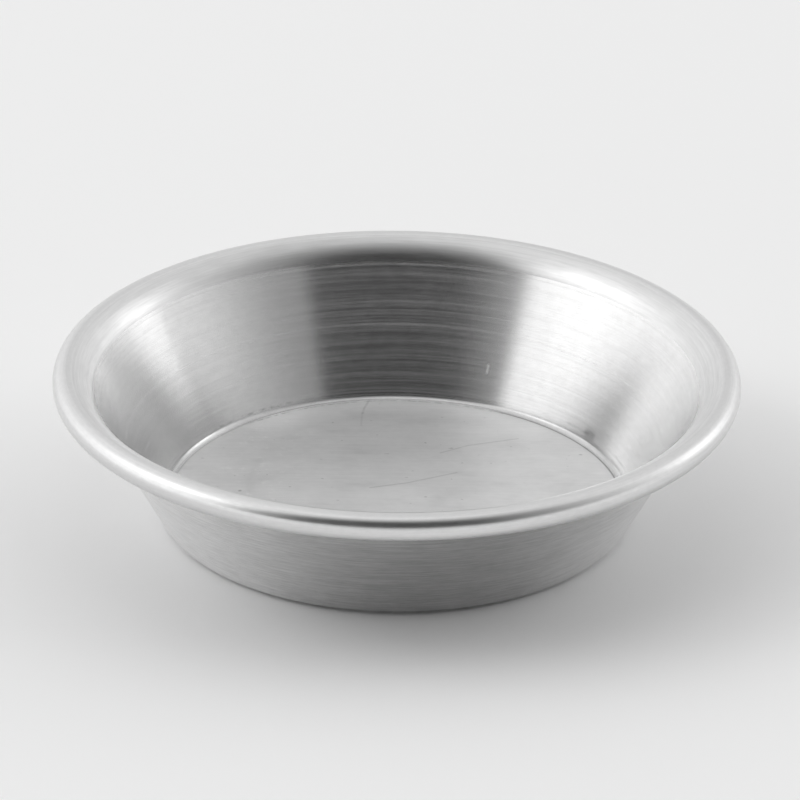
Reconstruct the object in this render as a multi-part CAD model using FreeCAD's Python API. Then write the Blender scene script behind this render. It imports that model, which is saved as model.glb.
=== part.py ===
# Pie plate: one round sheet of aluminium, spun to a flat base, a sloping wall and a rolled rim.
# Millimetres. The plate stands on Z = 0, its axis is the Z axis, and +Z points out of its mouth.
import FreeCAD
import Part
import math
import os

# Driving dimensions
rim_radius = 63.5  # axis to the outermost point of the rolled rim
rim_height = 28.8  # resting face to the top of the rolled rim
base_radius = 43.9  # axis to the corner that the outside wall and the base would make unbent
sheet = 1.0  # thickness of the metal, the same all over
corner_radius = 1.2  # bend between the floor and the wall, on the food side
flare_radius = 8.6  # bend that turns the wall outwards below the rim, on the food side
flare_slope = 25.0  # degrees above level at which the flare runs into the rolled rim
bead_radius = 2.5  # outside radius of the rolled rim's section
curl_gap = 0.4  # space between the sheet's tucked-in edge and the flare above it


def at(centre, radius, degrees):
    """Point of the section at an angle round a bend's centre."""
    turn = math.radians(degrees)
    return FreeCAD.Vector(centre.x + radius * math.cos(turn), 0, centre.z + radius * math.sin(turn))


def bend(centre, radius, start, end):
    """Edge of the section that goes round a bend from one angle to another."""
    points = [at(centre, radius, angle) for angle in (start, (start + end) / 2, end)]
    return Part.Arc(*points).toShape()


def bead_centre():
    """Middle of the rolled rim's section."""
    return FreeCAD.Vector(rim_radius - bead_radius, 0, rim_height - bead_radius)


def flare_centre():
    """Centre of the flare's bend: on one line with the bead's, where the two arcs meet."""
    return at(bead_centre(), bead_radius - flare_radius, 90 + flare_slope)


def wall_slope():
    """Degrees above level of the wall, from the unbent corner up to where it touches the flare."""
    centre = flare_centre()
    run = centre.x - base_radius
    reach = math.hypot(run, centre.z)
    return math.degrees(math.atan2(centre.z, run) + math.asin((flare_radius - sheet) / reach))


def corner_centre():
    """Centre of the bend between the base and the wall."""
    outside_radius = corner_radius + sheet
    setback = outside_radius * math.tan(math.radians(wall_slope() / 2))
    return FreeCAD.Vector(base_radius - setback, 0, outside_radius)


def curl_end():
    """Angle round the bead at which its outside comes within the gap of the flare's underside."""
    apart = flare_radius - bead_radius
    reach = flare_radius - sheet - curl_gap
    short = math.acos((reach ** 2 - apart ** 2 - bead_radius ** 2) / (2 * apart * bead_radius))
    return 90 + flare_slope - 360 + math.degrees(short)


def face_of_sheet(depth):
    """One face of the sheet from the axis to the tucked-in edge, at a depth below the food side."""
    slope = wall_slope()
    corner = corner_centre()
    flare = flare_centre()
    corner_bend = corner_radius + depth
    flare_bend = flare_radius - depth
    level = sheet - depth
    base = Part.LineSegment(FreeCAD.Vector(0, 0, level), FreeCAD.Vector(corner.x, 0, level))
    wall = Part.LineSegment(at(corner, corner_bend, slope - 90), at(flare, flare_bend, slope + 90))
    return [
        base.toShape(),
        bend(corner, corner_bend, -90, slope - 90),
        wall.toShape(),
        bend(flare, flare_bend, slope + 90, flare_slope + 90),
        bend(bead_centre(), bead_radius - depth, flare_slope + 90, curl_end()),
    ]


def sheet_section():
    """Closed outline of the sheet in the XZ plane, of one thickness from axis to edge."""
    axis_line = Part.LineSegment(FreeCAD.Vector(0, 0, 0), FreeCAD.Vector(0, 0, sheet))
    cut_edge = Part.LineSegment(
        at(bead_centre(), bead_radius, curl_end()),
        at(bead_centre(), bead_radius - sheet, curl_end()),
    )
    edges = face_of_sheet(0) + face_of_sheet(sheet) + [axis_line.toShape(), cut_edge.toShape()]
    return Part.Face(Part.Wire(Part.__sortEdges__(edges)))


def pie_plate():
    """The section turned once round the axis."""
    return sheet_section().revolve(FreeCAD.Vector(0, 0, 0), FreeCAD.Vector(0, 0, 1), 360)


os.makedirs("parts", exist_ok=True)
plate = pie_plate()
plate.exportStep("parts/pie_plate.step")
print("pie_plate: volume", round(plate.Volume), "mm3, wall slope", round(wall_slope(), 2), "degrees")
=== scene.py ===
# Pie plate: one round sheet of spun aluminium with a rolled rim, on a pale studio floor.
import bpy
import math
from mathutils import Matrix, Vector


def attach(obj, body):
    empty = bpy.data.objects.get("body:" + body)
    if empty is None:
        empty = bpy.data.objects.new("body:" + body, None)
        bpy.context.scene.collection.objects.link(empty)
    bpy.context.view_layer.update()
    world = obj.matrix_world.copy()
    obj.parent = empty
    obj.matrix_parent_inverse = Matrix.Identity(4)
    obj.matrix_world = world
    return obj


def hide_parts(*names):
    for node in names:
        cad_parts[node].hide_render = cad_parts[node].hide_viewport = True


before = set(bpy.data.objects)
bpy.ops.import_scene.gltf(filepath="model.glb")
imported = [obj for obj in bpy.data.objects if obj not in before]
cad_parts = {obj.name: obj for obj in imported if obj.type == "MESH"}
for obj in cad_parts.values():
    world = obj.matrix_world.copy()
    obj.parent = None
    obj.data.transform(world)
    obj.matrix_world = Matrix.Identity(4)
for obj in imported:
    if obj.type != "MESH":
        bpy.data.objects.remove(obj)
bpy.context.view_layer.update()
print("frame: loaded,", len(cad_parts), "node")

millimetre = 0.001  # m; sizes below are in mm where nothing else is said
allRound = (-180, 180)  # degrees: the whole way round the axis


def linear(hexColour):
    # sRGB hex to the linear colour that Blender's sockets take, by the sRGB curve
    channels = [int(hexColour[i:i + 2], 16) / 255 for i in (1, 3, 5)]
    return [c / 12.92 if c <= 0.04045 else ((c + 0.055) / 1.055) ** 2.4 for c in channels] + [1.0]


def feed(tree, socket, value):
    # gives a node's input a value, or links it to an output
    if isinstance(value, bpy.types.NodeSocket):
        tree.links.new(value, socket)
    else:
        socket.default_value = value


def addNode(tree, kind, inputs=(), give=0, **settings):
    # adds a node with its settings and links; inputs go by order or by name, give is the output wanted
    node = tree.nodes.new("ShaderNode" + kind)
    for name, value in settings.items():
        setattr(node, name, value)
    for name, value in inputs.items() if isinstance(inputs, dict) else enumerate(inputs):
        feed(tree, node.inputs[name], value)
    return node.outputs[give]


def addObject(name, data):
    made = bpy.data.objects.new(name, data)
    bpy.context.scene.collection.objects.link(made)
    return made


# The camera, at the photograph's viewing angle

camera = {
    "distance": 0.850,  # m, to the plate's foot on its axis
    "elevation": 26.93,  # degrees above the floor
    "pan": -0.0426,  # degrees, from the centred view
    "tilt": 1.298,
    "roll": -0.599,
    "lens": 204.15,  # mm
    "sensor": 36,
    "nearest": 0.01,  # m
}


def makeCamera():
    rise = math.radians(camera["elevation"])
    place = camera["distance"] * Vector((0, -math.cos(rise), math.sin(rise)))
    forward = -place.normalized()
    right = Vector((1, 0, 0))
    up = right.cross(forward)
    pan = Matrix.Rotation(math.radians(camera["pan"]), 3, up)
    forward, right = pan @ forward, pan @ right
    tilt = Matrix.Rotation(math.radians(camera["tilt"]), 3, right)
    forward, up = tilt @ forward, tilt @ up
    roll = Matrix.Rotation(math.radians(camera["roll"]), 3, forward)
    right, up = roll @ right, roll @ up
    data = bpy.data.cameras.new("camera")
    data.lens = camera["lens"]
    data.sensor_width = camera["sensor"]
    data.clip_start = camera["nearest"]
    eye = addObject("camera", data)
    turn = Matrix((right, up, -forward)).transposed()
    eye.matrix_world = Matrix.Translation(place) @ turn.to_4x4()
    bpy.context.scene.camera = eye


makeCamera()
print("camera: made")

# The plate: the sheet's section, turned once round the axis with exact normals

plate = {
    "rimRadius": 63.5,  # axis to the outermost point of the rolled rim
    "rimHeight": 28.8,
    "baseRadius": 43.9,  # to the corner that the outside wall and the base would make unbent
    "sheet": 1.0,  # thickness
    "cornerRadius": 1.2,
    "flareRadius": 8.6,
    "flareSlope": 25.0,  # degrees above level where the flare runs into the rim
    "beadRadius": 2.5,
    "curlGap": 0.4,  # between the tucked-in edge and the flare's underside
    "roundSteps": 420,
    "steps": {"base": 8, "corner": 10, "wall": 24, "flare": 14, "bead": 56},  # along the section
    "underStart": 300.0,  # where the underside's "along" starts, so that its marks are its own
    "finishes": ("mill_floor", "spun_wall", "satin_flare", "burnished_rim", "brushed_outside"),
    "foodFinish": {
        "base": "mill_floor",
        "corner": "spun_wall",
        "wall": "spun_wall",
        "flare": "satin_flare",
        "bead": "burnished_rim",
    },
    "underFinish": "brushed_outside",
}


def onArc(centre, radius, degrees):
    turn = math.radians(degrees)
    return (centre[0] + radius * math.cos(turn), centre[1] + radius * math.sin(turn))


def plateBends():
    # centres and slope of the section's bends, from the driving sizes
    p = plate
    bead = (p["rimRadius"] - p["beadRadius"], p["rimHeight"] - p["beadRadius"])
    flare = onArc(bead, p["beadRadius"] - p["flareRadius"], 90 + p["flareSlope"])
    run = flare[0] - p["baseRadius"]
    lean = math.atan2(flare[1], run)
    slope = math.degrees(lean + math.asin((p["flareRadius"] - p["sheet"]) / math.hypot(run, flare[1])))
    outer = p["cornerRadius"] + p["sheet"]
    corner = (p["baseRadius"] - outer * math.tan(math.radians(slope / 2)), outer)
    # the curl turns on until its edge is the gap away from the flare's underside
    apart = p["flareRadius"] - p["beadRadius"]
    reach = p["flareRadius"] - p["sheet"] - p["curlGap"]
    short = math.acos((reach ** 2 - apart ** 2 - p["beadRadius"] ** 2) / (2 * apart * p["beadRadius"]))
    curlEnd = 90 + p["flareSlope"] - 360 + math.degrees(short)
    return {"bead": bead, "flare": flare, "corner": corner, "slope": slope, "curlEnd": curlEnd}


def arcPoints(steps, centre, radius, start, end, side):
    # points round a bend with the direction that the surface faces; side is -1 on a hollow bend
    made = []
    for i in range(steps + 1):
        degrees = start + (end - start) * i / steps
        facing = onArc((0, 0), side, degrees)
        made.append((onArc(centre, radius, degrees), facing))
    return made


def sheetFace(depth, bends, outwards):
    # one face of the sheet from the axis to the tucked-in edge; outwards is 1 for the food side
    p, steps, slope = plate, plate["steps"], bends["slope"]
    level = p["sheet"] - depth
    flareEnd = 90 + p["flareSlope"]
    arcs = {  # centre, radius, start and end in degrees, and the side that faces out
        "corner": (bends["corner"], p["cornerRadius"] + depth, -90, slope - 90, -outwards),
        "flare": (bends["flare"], p["flareRadius"] - depth, 90 + slope, flareEnd, outwards),
        "bead": (bends["bead"], p["beadRadius"] - depth, flareEnd, bends["curlEnd"], outwards),
    }
    corner, flare, bead = (arcPoints(steps[name], *arc) for name, arc in arcs.items())
    baseEnd = corner[0][0][0]
    base = [((baseEnd * i / steps["base"], level), (0, outwards)) for i in range(steps["base"] + 1)]
    foot, head = corner[-1], flare[0]
    wall = []
    for i in range(1, steps["wall"] + 1):
        t = i / steps["wall"]
        wall.append((tuple(foot[0][k] + (head[0][k] - foot[0][k]) * t for k in (0, 1)), foot[1]))
    parts = {"base": base, "corner": corner[1:], "wall": wall, "flare": flare[1:], "bead": bead[1:]}
    rows, last = [], (0, level)
    run = 0.0 if outwards > 0 else p["underStart"]
    for part, points in parts.items():
        finish = p["foodFinish"][part] if outwards > 0 else p["underFinish"]
        for place, facing in points:
            run += math.dist(place, last)
            last = place
            rows.append((place, facing, run, p["finishes"].index(finish)))
    return rows


def lathe(name, rows, turns):
    # rows is the section, from the axis out and back to it: place, facing, mm along the sheet, finish
    places, normals, along, faces, finishes, rings = [], [], [], [], [], []
    for (r, z), (outward, upward), run, finish in rows:
        count = turns if r > 0 else 1
        rings.append((len(places), count))
        for k in range(count):
            turn = math.tau * k / turns
            cosine, sine = math.cos(turn), math.sin(turn)
            places.append((r * cosine * millimetre, r * sine * millimetre, z * millimetre))
            normals.append((outward * cosine, outward * sine, upward))
            along.append(run)
    for i, ((a, countA), (b, countB)) in enumerate(zip(rings, rings[1:])):
        finishes += [rows[i + 1][3]] * turns
        for k in range(turns):
            n = (k + 1) % turns
            corners = [a + k % countA, b + k % countB, b + n % countB, a + n % countA]
            faces.append(tuple(dict.fromkeys(corners)))
    mesh = bpy.data.meshes.new(name)
    mesh.from_pydata(places, [], faces)
    mesh.shade_smooth()
    mesh.normals_split_custom_set_from_vertices(normals)
    mesh.attributes.new("along", "FLOAT", "POINT").data.foreach_set("value", along)
    mesh.polygons.foreach_set("material_index", finishes)
    return addObject(name, mesh)


def makePlate():
    bends = plateBends()
    foodSide = sheetFace(0, bends, 1)
    underside = sheetFace(plate["sheet"], bends, -1)
    piece = lathe("spun_plate", foodSide + underside[::-1], plate["roundSteps"])
    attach(piece, "root")
    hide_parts("pie_plate")
    print("plate:", len(piece.data.polygons), "faces, wall slope", round(bends["slope"], 2))
    return piece


spunPlate = makePlate()

# Spun aluminium

# The plate is 3003 aluminium sheet, bare all over. Each part of it was worked in its own way, and
# each way has a finish below.
# A layer of marks is one noise. Its pitch is across the marks and its length along them, in mm.
# "cut" is where the noise goes from none to all of the mark, so that a narrow cut gives few sharp
# marks; "least" is what the rest gets.
# A band lies round the axis: "at" is mm along the sheet from the plate's middle (from underStart on
# the underside), "width" how far it reaches to each side of that, "turns" the degrees round the axis
# between which it shows (0 is the right, 90 the back), "fade" the degrees over which its ends fade,
# and "ragged" how worn away it is.
# A scratch is a line between points in mm, and "width" is how far it reaches to each side.
# Each adds to roughness, to the share of dull metal, to the share of grime and painted shade, to
# the share of light that fine marks scatter all round (which shows where the metal mirrors something
# dark), and to height in mm. Some bands add dull metal as painted shade, or take it away as painted
# light.

# the grime colour also darkens the marks below that are painted shade
metalColours = {"metal": "#F2F2F2", "dull": "#B3B3B3", "grime_and_shade": "#424242"}
effects = ("roughness", "dull", "grime_and_shade", "scatter", "height")

# The floor keeps the sheet's rolled mill finish: a soft, even sheen with faint lines and pale stains.
millFloor = {
    "roughness": 0.30,
    "scatter": 0.0,
    "worn": 0.42,  # share of dull metal
    "rings": False,
    "layers": {
        # rolling leaves lines about 0.05 mm apart; drawn at 0.6 mm, the finest that shows
        "rolling lines": {"pitch": 0.6, "length": 14, "dull": 0.03},
        "mottle": {"pitch": 1.2, "length": 1.8, "dull": 0.03},
        "cloudy stains": {"pitch": 11.0, "length": 14, "roughness": 0.02, "dull": 0.10},
        "dark stains": {"pitch": 4.5, "length": 8, "cut": (0.55, 0.85), "least": 0.0, "grime_and_shade": 0.12},
        "specks": {"pitch": 0.9, "length": 1.0, "cut": (0.82, 0.86), "least": 0.0, "detail": 0,
                   "grime_and_shade": 0.25},
    },
    "bands": {
        # painted shade: dark lines round the floor's edge, at the foot of the corner
        "right edge line": {"at": 42.42, "width": 0.30, "turns": (-22, 66), "ragged": 0.20,
                            "grime_and_shade": 0.58},
        "back edge line": {"at": 42.1, "width": 0.35, "turns": (58, 134), "ragged": 0.62,
                           "grime_and_shade": 0.30},
        "left edge line": {"at": 42.42, "width": 0.26, "turns": (125, 200), "ragged": 0.40,
                           "grime_and_shade": 0.25},
        # the floor's metal is paler towards its back edge
        "paler back edge": {"at": 42.5, "width": 8.0, "turns": (48, 138), "ragged": 0.0, "fade": 20,
                        "dull": -0.25},
    },
    "scratches": {
        "long scratch": {"points": ((-4.8, 4.2, 1), (2.2, 6.4, 1), (11.5, 10.9, 1)), "width": 0.35,
                         "grime_and_shade": 0.22},
        "short scratch": {"points": ((8.5, 19.3, 1), (13.8, 22.6, 1), (23.4, 25.8, 1)), "width": 0.35,
                          "grime_and_shade": 0.20},
        "hairline": {"points": ((-6.6, 36.2, 1), (-6.3, 38.6, 1), (-5.3, 42.4, 1)), "width": 0.42,
                     "grime_and_shade": 0.20},
        "faint hairline": {"points": ((-6.8, 30.8, 1), (-6.7, 36.0, 1)), "width": 0.35, "grime_and_shade": 0.10},
        "left haze": {"points": ((-29, 2, 1), (-25, 24, 1)), "width": 15, "dull": 0.20},
        "curved stain": {"points": ((-27.2, 3.0, 1), (-27.6, 9.0, 1), (-26.2, 15.0, 1)), "width": 1.6,
                         "dull": 0.07},
        "left speck": {"points": ((-29.3, 2.3, 1), (-29.2, 2.4, 1)), "width": 0.5, "grime_and_shade": 0.5},
        "right speck": {"points": ((35.2, 19.1, 1), (35.3, 19.1, 1)), "width": 0.45, "grime_and_shade": 0.4},
    },
}

# The wall was spun over a form by a roller, which leaves rings: they stretch light up and down the
# wall, so it shows broad pale and dark wedges.
spunWall = {
    "roughness": 0.228,
    "anisotropic": 0.885,
    "scatter": 0.045,
    "worn": 0.25,
    "rings": True,
    "layers": {
        # the roller's feed is about 0.2 mm a turn; drawn at 0.27 mm, the finest that shows
        "roller rings": {"pitch": 0.27, "length": 260, "detail": 0, "roughness": 0.002, "dull": -0.02,
                         "scatter": 0.055},
        "broken rings": {"pitch": 0.30, "length": 16, "detail": 1, "roughness": 0.002, "dull": -0.015,
                         "scatter": 0.040},
        "wide rings": {"pitch": 0.7, "length": 300, "detail": 0, "roughness": 0.002, "dull": 0.01,
                       "height": 0.0015},
        "bright scores": {"pitch": 0.40, "length": 420, "cut": (0.60, 0.72), "least": 0.0, "detail": 0,
                          "roughness": 0.002, "dull": -0.04, "scatter": 0.07},
        "dark scores": {"pitch": 0.35, "length": 240, "cut": (0.66, 0.74), "least": 0.0, "detail": 0,
                        "grime_and_shade": 0.02},
        "smears": {"pitch": 1.6, "length": 2.5, "roughness": 0.004, "dull": 0.03, "scatter": 0.030},
    },
    "bands": {
        "top of the wall": {"at": 70.1, "width": 0.7, "turns": allRound, "ragged": 0.0, "scatter": -0.04},
        "upper ring": {"at": 69.5, "width": 0.32, "turns": allRound, "ragged": 0.25, "scatter": 0.14},
        "second ring": {"at": 67.65, "width": 0.55, "turns": allRound, "ragged": 0.30, "scatter": 0.09},
        "third ring": {"at": 57.6, "width": 0.30, "turns": allRound, "ragged": 0.40, "scatter": 0.08},
        "fourth ring": {"at": 56.4, "width": 0.30, "turns": allRound, "ragged": 0.35, "scatter": 0.10},
        "fifth ring": {"at": 54.6, "width": 0.28, "turns": allRound, "ragged": 0.48, "scatter": 0.06},
        "sixth ring": {"at": 51.0, "width": 0.28, "turns": allRound, "ragged": 0.42, "scatter": 0.08},
        "seventh ring": {"at": 47.7, "width": 0.28, "turns": allRound, "ragged": 0.42, "scatter": 0.08},
        # painted shade: the back of the corner is darkened
        "back corner shade": {"at": 44.2, "width": 0.75, "turns": (58, 118), "ragged": 0.35, "grime_and_shade": 0.12},
        # painted shade: the whole corner is dulled, so that it mirrors less of the light above
        "shaded corner": {"at": 43.1, "width": 1.3, "turns": allRound, "ragged": 0.05, "dull": 0.40},
        "scuffed back corner": {"at": 43.55, "width": 0.7, "turns": (55, 118), "ragged": 0.35, "fade": 14,
                                "scatter": 0.12},
        # painted shade: darker at the foot of the corner, at the back left
        "dark corner": {"at": 42.95, "width": 0.75, "turns": (92, 142), "ragged": 0.1, "fade": 12,
                        "grime_and_shade": 0.14},
        # painted highlight: paler metal in the left of the corner, where it mirrors the right softbox
        "corner highlight": {"at": 43.6, "width": 1.6, "turns": (132, 164), "ragged": 0.15, "fade": 15,
                            "dull": -0.25},
        # painted shade: the right of the corner is dulled, so that its mirrored highlight is dimmer
        "dimmed right corner": {"at": 43.8, "width": 0.9, "turns": (-12, 66), "ragged": 0.1, "fade": 14,
                              "dull": 0.26},
        # painted light: the foot of the wall at the right back is paler metal, where it mirrors the
        # tent's left back
        "brightened right wall": {"at": 46.5, "width": 4.5, "turns": (20, 46), "ragged": 0.0, "fade": 12,
                        "dull": -0.22},
        # painted shade: a ragged dark line along a crease just above the corner at the back left
        "crease shade": {"at": 44.25, "width": 0.35, "turns": (112, 145), "ragged": 0.62, "grime_and_shade": 0.40},
    },
    "scratches": {
        "nick": {"points": ((17.8, 43.5, 8.2), (17.6, 43.1, 6.8)), "width": 0.35, "roughness": 0.3,
                 "scatter": 0.3},
        "hairline": {"points": ((-5.4, 43.9, 2.2), (-4.6, 45.0, 4.6), (-4.2, 46.7, 7.8)), "width": 0.25,
                     "scatter": 0.06},
        "curved mark": {"points": ((16.9, 48.3, 15.9), (17.4, 48.1, 15.6), (17.6, 47.8, 15.1)),
                        "width": 0.22, "scatter": 0.10},
        "dark streak": {"points": ((33.2, 29.2, 2.8), (35.0, 27.0, 2.8), (36.8, 24.5, 2.8)),
                        "width": 0.42, "grime_and_shade": 0.20},
        "dark blot": {"points": ((36.6, 24.8, 2.8), (37.4, 23.6, 2.9)), "width": 1.6, "grime_and_shade": 0.36},
        "first right mark": {"points": ((40.9, 15.3, 1.8), (42.3, 10.9, 1.8)), "width": 0.4,
                             "grime_and_shade": 0.20},
        "second right mark": {"points": ((41.7, 14.8, 2.8), (42.9, 10.7, 2.7)), "width": 0.4,
                              "grime_and_shade": 0.20},
        "first scuff": {"points": ((-14.6, 44.6, 7.8), (-13.4, 45.6, 9.0)), "width": 0.28,
                        "scatter": 0.05},
        "second scuff": {"points": ((-13.6, 44.8, 7.6), (-12.2, 46.2, 9.4)), "width": 0.28,
                         "scatter": 0.05},
        "third scuff": {"points": ((-12.8, 45.0, 7.6), (-11.3, 46.3, 9.2)), "width": 0.28,
                        "scatter": 0.04},
    },
}

# The flare was spun as the wall was and then rubbed satin: short fine strokes spread light into a
# soft pale ring without clear reflections.
satinFlare = {
    "roughness": 0.345,
    "anisotropic": 0.30,
    "scatter": 0.03,
    "worn": 0.52,
    "rings": True,
    "layers": {
        # satin strokes are about 0.1 mm wide; drawn at 0.25 mm, the finest that shows
        "satin rings": {"pitch": 0.3, "length": 40, "detail": 0, "roughness": 0.005, "dull": 0.045,
                        "scatter": 0.03},
        "satin strokes": {"pitch": 0.25, "length": 4, "detail": 1, "roughness": 0.005, "dull": 0.05,
                          "scatter": 0.04},
        "smears": {"pitch": 2.0, "length": 5, "roughness": 0.01, "dull": 0.03, "scatter": 0.02},
    },
    "bands": {
        "start of the flare": {"at": 70.1, "width": 2.4, "turns": allRound, "ragged": 0.0, "dull": -0.12,
                               "roughness": -0.04, "scatter": -0.02},
        "flare shade": {"at": 70.5, "width": 0.45, "turns": (30, 130), "ragged": 0.50, "fade": 20,
                        "grime_and_shade": 0.10},
    },
}

# The rim was burnished as it was curled: smooth and bright, with clear soft lines round it.
burnishedRim = {
    "roughness": 0.31,
    "scatter": 0.02,
    "worn": 0.43,
    "rings": True,
    "layers": {
        # the curling roller's lines are about 0.1 mm apart; drawn at 0.3 mm, the finest that shows
        "burnishing rings": {"pitch": 0.3, "length": 30, "detail": 1, "roughness": 0.006, "dull": 0.05,
                             "scatter": 0.02},
        "handling marks": {"pitch": 0.6, "length": 1.2, "roughness": 0.01, "dull": 0.04, "scatter": 0.04},
    },
    "bands": {
        "rubbed side": {"at": 81.5, "width": 3.2, "turns": allRound, "ragged": 0.0, "dull": -0.12},
    },
}

# The outside was brushed on the lathe with 240 grit: short strokes round it give a satin sheen.
brushedOutside = {
    "roughness": 0.20,
    "anisotropic": 0.75,
    "scatter": 0.02,
    "worn": 0.18,
    "rings": True,
    "layers": {
        # the grit leaves scratches 0.05 mm apart; drawn at 0.22 mm, the finest that shows
        "brush strokes": {"pitch": 0.22, "length": 7, "detail": 0, "dull": 0.10, "scatter": 0.014},
        "short strokes": {"pitch": 0.25, "length": 2, "detail": 1, "dull": 0.07, "scatter": 0.020},
        "long strokes": {"pitch": 0.3, "length": 26, "detail": 0, "dull": 0.05},
        "cloudy wear": {"pitch": 4.0, "length": 6, "dull": 0.07},
    },
    "bands": {
        # painted shade: the front of the outside is dulled and darkened, where it mirrors the plate's own
        # shadow on the floor
        "front shade": {"at": 358, "width": 44, "turns": (-138, -26), "ragged": 0.22, "fade": 52,
                    "grain": 0.10, "dull": 0.52, "grime_and_shade": 0.19},
    },
}

looks = {
    "mill_floor": millFloor,
    "spun_wall": spunWall,
    "satin_flare": satinFlare,
    "burnished_rim": burnishedRim,
    "brushed_outside": brushedOutside,
}

# what the finishes share, where a mark's own row says nothing else
marking = {
    "stretchTurn": 0.25,  # a quarter turn: the anisotropic stretch runs across the rings
    "wallRadius": 55,  # where a ring mark's length round the axis is true
    "cut": (0.3, 0.7),  # nearly the whole noise
    "least": -1.0,
    "detail": 2,
    "seedStart": 1.7,  # a place in the noise for each layer, so that no two are alike
    "seedStep": 7.3,
    "bandCore": 0.2,  # share of a band's width that shows in full
    "bandFade": 6,  # degrees
    "bandGrain": 0.9,  # waves a mm in what wears a band away
    "bandDetail": 3,
    "bandWorn": (-0.25, 0.05),  # where it is gone and where it is whole, from its "ragged"
    "scratchGrain": 0.7,
    "scratchDetail": 2,
    "scratchWorn": (0.15, 0.45),
}


def between(tree, value, opening, closing):
    # 1 between two edges and 0 outside them; each edge is where it starts and where it ends
    edges = []
    for start, end in (opening, closing):
        edges.append(addNode(tree, "MapRange", {"Value": value, "From Min": start, "From Max": end},
                             interpolation_type="SMOOTHSTEP"))
    return addNode(tree, "Math", edges, operation="SUBTRACT")


def closeTo(tree, distance, core, edge):
    # 1 within the core and 0 past the edge, smooth between
    past = addNode(tree, "MapRange", {"Value": distance, "From Min": core, "From Max": edge},
                   interpolation_type="SMOOTHSTEP")
    return addNode(tree, "Math", (1.0, past), operation="SUBTRACT")


def wornAway(tree, mask, ground, grain, detail, gone, whole):
    # takes a mask off in places, as handling does
    wear = addNode(tree, "TexNoise", {"Vector": ground["place"], "Scale": grain, "Detail": detail})
    left = addNode(tree, "MapRange", {"Value": wear, "From Min": gone, "From Max": whole},
                   interpolation_type="SMOOTHSTEP")
    return addNode(tree, "Math", (mask, left), operation="MULTIPLY")


def addUp(tree, outputs, start):
    total = start
    for output in outputs:
        total = addNode(tree, "Math", (output, total), operation="ADD")
    return total


def layerMask(tree, ground, look, layer, seed):
    # a noise stretched along the rings, or along the sheet's rolling direction on the floor
    if look["rings"]:
        # round the axis one unit is one length of mark, along the sheet one pitch
        lengths = marking["wallRadius"] / layer["length"]
        sweep = addNode(tree, "VectorMath", {0: ground["outward"], "Scale": lengths}, operation="SCALE")
        rise = addNode(tree, "Math", (ground["along"], 1 / layer["pitch"]), operation="MULTIPLY")
        lift = addNode(tree, "CombineXYZ", {"Z": rise})
        place = addNode(tree, "VectorMath", (sweep, lift), operation="ADD")
    else:
        squeeze = (1 / layer["length"], 1 / layer["pitch"], 0)
        place = addNode(tree, "VectorMath", (ground["place"], squeeze), operation="MULTIPLY")
    place = addNode(tree, "VectorMath", (place, (seed, 2 * seed, 3 * seed)), operation="ADD")
    detail = layer.get("detail", marking["detail"])
    noise = addNode(tree, "TexNoise", {"Vector": place, "Scale": 1, "Detail": detail})
    start, end = layer.get("cut", marking["cut"])
    least = layer.get("least", marking["least"])
    return addNode(tree, "MapRange", {"Value": noise, "From Min": start, "From Max": end,
                                      "To Min": least})


def bandMask(tree, ground, band):
    # a ring of even width, worn away in places and fading at its ends
    off = addNode(tree, "Math", (ground["along"], band["at"]), operation="SUBTRACT")
    off = addNode(tree, "Math", (off,), operation="ABSOLUTE")
    ring = closeTo(tree, off, band["width"] * marking["bandCore"], band["width"])
    if band["turns"] != allRound:
        start, end = band["turns"]
        fade = band.get("fade", marking["bandFade"])
        shown = between(tree, ground["turn"], (start, start + fade), (end - fade, end))
        ring = addNode(tree, "Math", (ring, shown), operation="MULTIPLY")
    grain = band.get("grain", marking["bandGrain"])
    gone, whole = (band["ragged"] + step for step in marking["bandWorn"])
    return wornAway(tree, ring, ground, grain, marking["bandDetail"], gone, whole)


def scratchMask(tree, ground, scratch):
    # how near each point is to a line through the scratch's points
    near = None
    for a, b in zip(scratch["points"], scratch["points"][1:]):
        a, b = Vector(a), Vector(b)
        run = addNode(tree, "VectorMath", (ground["place"], a), operation="SUBTRACT")
        share = addNode(tree, "VectorMath", (run, (b - a) / (b - a).length_squared), give="Value",
                        operation="DOT_PRODUCT")
        share = addNode(tree, "Clamp", {"Value": share})
        foot = addNode(tree, "VectorMath", {0: b - a, "Scale": share}, operation="SCALE")
        gap = addNode(tree, "VectorMath", (run, foot), give="Value", operation="DISTANCE")
        near = gap if near is None else addNode(tree, "Math", (near, gap), operation="MINIMUM")
    line = closeTo(tree, near, 0.0, scratch["width"])
    return wornAway(tree, line, ground, marking["scratchGrain"], marking["scratchDetail"],
                    *marking["scratchWorn"])


def surfacePlace(tree):
    # where a point is: in mm, the way out from the axis, the degrees round it, mm along the sheet
    spot = addNode(tree, "TexCoord", give="Object")
    place = addNode(tree, "VectorMath", (spot, [1 / millimetre] * 3), operation="MULTIPLY")
    part = addNode(tree, "SeparateXYZ", (place,)).node.outputs
    turn = addNode(tree, "Math", (part["Y"], part["X"]), operation="ARCTAN2")
    turn = addNode(tree, "Math", (turn,), operation="DEGREES")
    outward = addNode(tree, "VectorMath", (place, (1, 1, 0)), operation="MULTIPLY")
    outward = addNode(tree, "VectorMath", (outward,), operation="NORMALIZE")
    along = addNode(tree, "Attribute", give="Fac", attribute_name="along")
    return {"place": place, "turn": turn, "outward": outward, "along": along}


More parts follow.
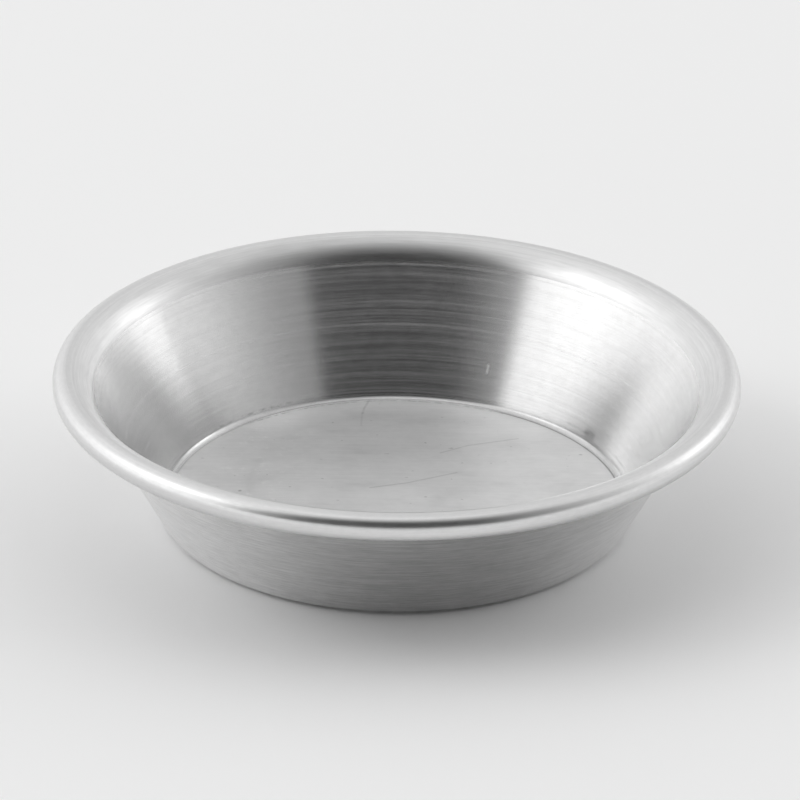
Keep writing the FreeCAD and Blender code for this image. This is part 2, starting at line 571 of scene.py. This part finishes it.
def makeAluminium(name, look):
    material = bpy.data.materials.new(name)
    material.use_nodes = True
    tree = material.node_tree
    shader = tree.nodes["Principled BSDF"]
    if "anisotropic" in look:
        shader.inputs["Anisotropic"].default_value = look["anisotropic"]
        shader.inputs["Anisotropic Rotation"].default_value = marking["stretchTurn"]
        tangent = addNode(tree, "Tangent", direction_type="RADIAL", axis="Z")
        feed(tree, shader.inputs["Tangent"], tangent)
    ground = surfacePlace(tree)
    masks = []
    for number, layer in enumerate(look["layers"].values()):
        seed = marking["seedStep"] * number + marking["seedStart"]
        masks.append((layer, layerMask(tree, ground, look, layer, seed)))
    masks += [(band, bandMask(tree, ground, band)) for band in look["bands"].values()]
    scratches = look.get("scratches", {}).values()
    masks += [(scratch, scratchMask(tree, ground, scratch)) for scratch in scratches]
    sums = {effect: [] for effect in effects}
    for effect in effects:
        for mark, mask in masks:
            if effect in mark:
                sums[effect].append(addNode(tree, "Math", (mask, mark[effect]), operation="MULTIPLY"))
    feed(tree, shader.inputs["Roughness"], addUp(tree, sums["roughness"], look["roughness"]))
    colour = linear(metalColours["metal"])
    for effect, start in (("dull", look["worn"]), ("grime_and_shade", 0.0)):
        if start or sums[effect]:
            share = addNode(tree, "Clamp", {"Value": addUp(tree, sums[effect], start)})
            # a Mix node's sockets share their names, so its two colours and its result go by number
            colour = addNode(tree, "Mix", {"Factor": share, 6: colour, 7: linear(metalColours[effect])},
                             give=2, data_type="RGBA")
    feed(tree, shader.inputs["Base Color"], colour)
    # metal all through, apart from the light that fine marks scatter
    if sums["scatter"]:
        scattered = addUp(tree, sums["scatter"], look["scatter"])
        metallic = addNode(tree, "Math", (1.0, scattered), operation="SUBTRACT")
    else:
        metallic = 1.0 - look["scatter"]
    feed(tree, shader.inputs["Metallic"], metallic)
    if sums["height"]:
        height = addUp(tree, sums["height"], 0.0)
        bump = addNode(tree, "Bump", {"Height": height, "Distance": millimetre})
        feed(tree, shader.inputs["Normal"], bump)
    return material


for name in plate["finishes"]:
    spunPlate.data.materials.append(makeAluminium(name, looks[name]))
print("materials:", len(looks), "finishes of aluminium")

# The studio

# matt painted board: pale and even, with no shine
studioFloor = {
    "colour": "#F6F6F6",
    "roughness": 0.9,
    "specular": 0.2,
    "radius": 3.0,  # m
    "sides": 96,
    "level": -0.0004,  # m: the plate's foot isn't quite flat and stands on its high spots
}


def makeFloor():
    mesh = bpy.data.meshes.new("studio_floor")
    count = studioFloor["sides"]
    reach, level = studioFloor["radius"], studioFloor["level"]
    edge = [math.tau * k / count for k in range(count)]
    places = [(reach * math.cos(a), reach * math.sin(a), level) for a in edge]
    mesh.from_pydata(places, [], [tuple(range(count))])
    floor = addObject("studio_floor", mesh)
    material = bpy.data.materials.new("studio_floor")
    material.use_nodes = True
    shader = material.node_tree.nodes["Principled BSDF"]
    shader.inputs["Base Color"].default_value = linear(studioFloor["colour"])
    shader.inputs["Roughness"].default_value = studioFloor["roughness"]
    shader.inputs["Specular IOR Level"].default_value = studioFloor["specular"]
    floor.data.materials.append(material)


# a white tent, paler by its reflectors and dark at the gap in front where the camera stands
# directions are degrees to the right of the camera's side, then degrees above the floor
tent = {
    # even light, then how much more comes from the left, from the right and from above
    "even": 0.761,
    "fromLeft": 0.557,
    "fromRight": 0.218,
    "fromAbove": 0.087,
    "glows": {  # spread is the angle from the middle of a glow to its edge
        "right reflector": {"towards": (126, 2), "spread": 18, "strength": 0.235},
        "back right panel": {"towards": (140, 10), "spread": 30, "strength": 0.148},
        "overhead": {"towards": (180, 84), "spread": 18, "strength": 0.139},
    },
    "glowCore": 0.25,  # share of the spread that has the full strength
    # the dark room in front: each edge is where it starts and where it ends, in degrees, and depth
    # is the share of the light that is missing
    "shades": {
        "gap": {"opens": (-57.5, -49.5), "closes": (34, 41.5), "depth": 0.83},
        "fainter left side": {"opens": (-50, -24), "closes": (34, 41.5), "depth": 0.17},
        "half-lit right end": {"opens": (34, 41.5), "closes": (41.5, 110), "depth": 0.73},
    },
    "low": (12.5, 17),  # the shades' edges above the floor
    "high": (52, 91),
}


def towards(angles):
    side, rise = (math.radians(a) for a in angles)
    return Vector((math.sin(side) * math.cos(rise), -math.cos(side) * math.cos(rise), math.sin(rise)))


def makeWorld():
    world = bpy.data.worlds.new("studio")
    bpy.context.scene.world = world
    world.use_nodes = True
    tree = world.node_tree
    way = addNode(tree, "TexCoord", give="Generated")
    part = addNode(tree, "SeparateXYZ", (way,)).node.outputs
    light = tent["even"]
    for axis, sign, more in (("X", -1.0, "fromLeft"), ("X", 1.0, "fromRight"), ("Z", 1.0, "fromAbove")):
        lean = addNode(tree, "Math", (part[axis], sign), operation="MULTIPLY")
        lean = addNode(tree, "Math", (lean, 0.0), operation="MAXIMUM")
        light = addNode(tree, "Math", (lean, tent[more], light), operation="MULTIPLY_ADD")
    for glow in tent["glows"].values():
        away = addNode(tree, "VectorMath", (way, towards(glow["towards"])), give="Value",
                       operation="DOT_PRODUCT")
        away = addNode(tree, "Math", (away,), operation="ARCCOSINE")
        away = addNode(tree, "Math", (away,), operation="DEGREES")
        share = closeTo(tree, away, glow["spread"] * tent["glowCore"], glow["spread"])
        light = addNode(tree, "Math", (share, glow["strength"], light), operation="MULTIPLY_ADD")
    front = addNode(tree, "Math", (part["Y"], -1.0), operation="MULTIPLY")
    side = addNode(tree, "Math", (part["X"], front), operation="ARCTAN2")
    side = addNode(tree, "Math", (side,), operation="DEGREES")
    rise = addNode(tree, "Math", (part["Z"],), operation="ARCSINE")
    rise = addNode(tree, "Math", (rise,), operation="DEGREES")
    # how dark each direction is: the gap, the fainter shade inside its left edge and the half-lit
    # end of the tent to its right
    dark = 0.0
    for shade in tent["shades"].values():
        wide = between(tree, side, shade["opens"], shade["closes"])
        dark = addNode(tree, "Math", (wide, shade["depth"], dark), operation="MULTIPLY_ADD")
    tall = between(tree, rise, tent["low"], tent["high"])
    dark = addNode(tree, "Math", (dark, tall), operation="MULTIPLY")
    lit = addNode(tree, "Math", (1.0, dark), operation="SUBTRACT")
    strength = addNode(tree, "Math", (light, lit), operation="MULTIPLY")
    background = tree.nodes["Background"]
    background.inputs["Color"].default_value = (1, 1, 1, 1)
    feed(tree, background.inputs["Strength"], strength)


# softboxes that face the plate; the two fills light the floor beside it, and the metal doesn't
# mirror them
lighting = {
    "distance": 2.5,  # m
    "lamps": {  # size in degrees seen from the plate, and how bright the cloth is
        "left_softbox": {"towards": (-88, 42), "size": (19.9, 19.9), "cloth": 0.84},
        "left_front_softbox": {"towards": (-75, 42), "size": (17.1, 17.1), "cloth": 0.24},
        "left_back_softbox": {"towards": (-100, 33), "size": (28.1, 22.6), "cloth": 0.30},
        "right_softbox": {"towards": (121, 27), "size": (19.9, 19.9), "cloth": 0.77},
        "right_low_softbox": {"towards": (113, 18), "size": (17.1, 17.1), "cloth": 0.50},
        "left_floor_fill": {"towards": (-92, 36), "size": (30, 30), "cloth": 1.45, "mirrored": False},
        "right_floor_fill": {"towards": (94, 34), "size": (30, 30), "cloth": 0.95, "mirrored": False},
    },
}


def makeLamp(name, look):
    data = bpy.data.lights.new(name, "AREA")
    data.shape = "RECTANGLE"
    reach = lighting["distance"]
    data.size, data.size_y = (2 * reach * math.tan(math.radians(a) / 2) for a in look["size"])
    data.energy = look["cloth"] * math.pi * data.size * data.size_y
    lamp = addObject(name, data)
    way = towards(look["towards"])
    turn = way.to_track_quat("Z", "Y").to_matrix().to_4x4()
    lamp.matrix_world = Matrix.Translation(way * reach) @ turn
    lamp.visible_camera = False
    lamp.visible_glossy = look.get("mirrored", True)


makeFloor()
makeWorld()
for name, look in lighting["lamps"].items():
    makeLamp(name, look)
bpy.context.scene.view_settings.view_transform = "Standard"
print("studio: floor, tent and", len(lighting["lamps"]), "lamps made")
